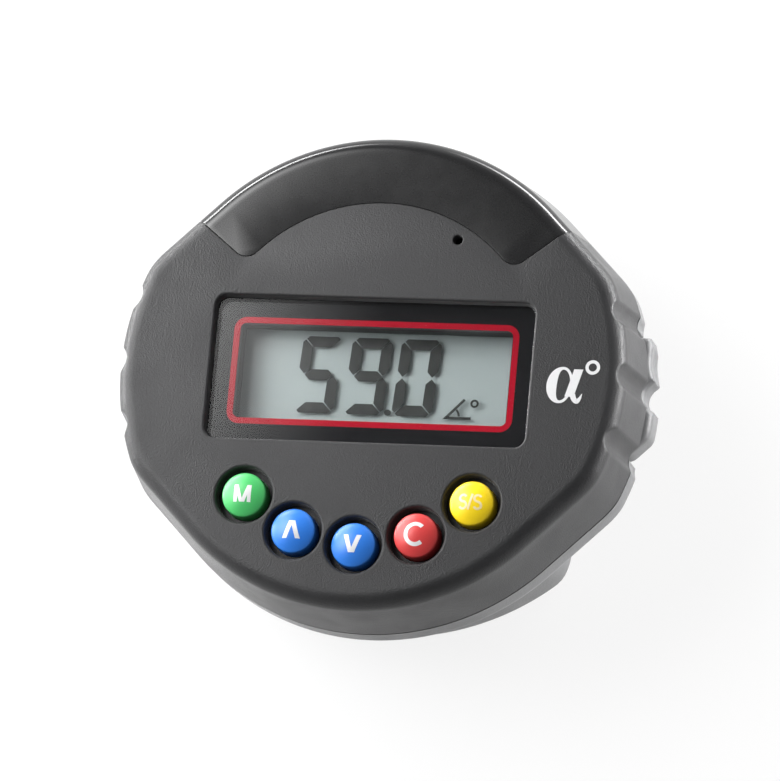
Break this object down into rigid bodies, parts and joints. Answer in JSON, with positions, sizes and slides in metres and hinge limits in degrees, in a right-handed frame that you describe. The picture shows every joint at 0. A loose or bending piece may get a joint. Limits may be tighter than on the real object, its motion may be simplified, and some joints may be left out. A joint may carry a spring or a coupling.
{
  "type": "torque angle gauge",
  "caption": "Hand-sized digital angle gauge for a wrench: round case with a segment display, coloured push buttons, a crescent alarm lens and squeeze latches over a magnetic battery block.",
  "frame": {"origin": "centre of the flat rear face of the battery block, which is the bottom centre of the bounding box", "axes": "+Z out of the display face, +Y to the top of the display, +X to the right of the display"},
  "size_m": [0.0858, 0.078, 0.0322],
  "materials": {
    "charcoal_plastic": "fine spark-eroded texture",
    "grey_plastic": "satin",
    "smoke_lens": "polished smoky",
    "clear_pane": "polished",
    "black_print": "printed film with a red line",
    "display_glass": "grey-green reflective display",
    "black_plastic": "moulded",
    "black_rubber": "moulded",
    "circuit_board": "green solder mask",
    "led_red": "clear moulded",
    "switch_grey": "moulded",
    "button_green": "polished",
    "button_blue": "polished",
    "button_red": "polished",
    "button_yellow": "polished",
    "zinc_steel": "zinc plated",
    "spring_steel": "bright wire",
    "cell_sleeve": "plain sleeve",
    "gold_contact": "plated",
    "magnet_nickel": "nickel plated"
  },
  "bodies": {
    "case": {"front_case": "charcoal_plastic", "alarm_lens": "smoke_lens", "display_window": "clear_pane", "window_mask": "black_print", "lcd_panel": "display_glass", "lcd_holder": "black_plastic", "zebra_strips": "black_rubber", "main_pcb": "circuit_board", "controller_chip": "black_plastic", "gyro_chip": "black_plastic", "alarm_leds": "led_red", "buzzer": "black_plastic", "key_switches": "switch_grey", "case_gasket": "black_rubber", "rear_case": "grey_plastic", "case_screws": "zinc_steel", "left_latch_spring": "spring_steel", "right_latch_spring": "spring_steel", "battery_cover": "grey_plastic", "battery_cells": "cell_sleeve", "battery_contacts": "gold_contact", "contact_pins": "gold_contact", "mount_magnets": "magnet_nickel"},
    "mode_key": {"mode_button": "button_green"},
    "up_key": {"up_button": "button_blue"},
    "down_key": {"down_button": "button_blue"},
    "clear_key": {"clear_button": "button_red"},
    "start_key": {"start_button": "button_yellow"},
    "left_tab": {"left_latch": "grey_plastic"},
    "right_tab": {"right_latch": "grey_plastic"}
  },
  "joints": [
    {"name": "mode_press", "type": "slide", "parent": "case", "child": "mode_key", "axis": [0, 0, -1], "range_m": [0, 0.0008], "stiffness_N_per_m": 400},
    {"name": "up_press", "type": "slide", "parent": "case", "child": "up_key", "axis": [0, 0, -1], "range_m": [0, 0.0008], "stiffness_N_per_m": 400},
    {"name": "down_press", "type": "slide", "parent": "case", "child": "down_key", "axis": [0, 0, -1], "range_m": [0, 0.0008], "stiffness_N_per_m": 400},
    {"name": "clear_press", "type": "slide", "parent": "case", "child": "clear_key", "axis": [0, 0, -1], "range_m": [0, 0.0008], "stiffness_N_per_m": 400},
    {"name": "start_press", "type": "slide", "parent": "case", "child": "start_key", "axis": [0, 0, -1], "range_m": [0, 0.0008], "stiffness_N_per_m": 400},
    {"name": "left_squeeze", "type": "slide", "parent": "case", "child": "left_tab", "axis": [1, 0, 0], "range_m": [0, 0.002], "stiffness_N_per_m": 500, "deforming": ["left_latch_spring"]},
    {"name": "right_squeeze", "type": "slide", "parent": "case", "child": "right_tab", "axis": [-1, 0, 0], "range_m": [0, 0.002], "stiffness_N_per_m": 500, "deforming": ["right_latch_spring"]}
  ]
}
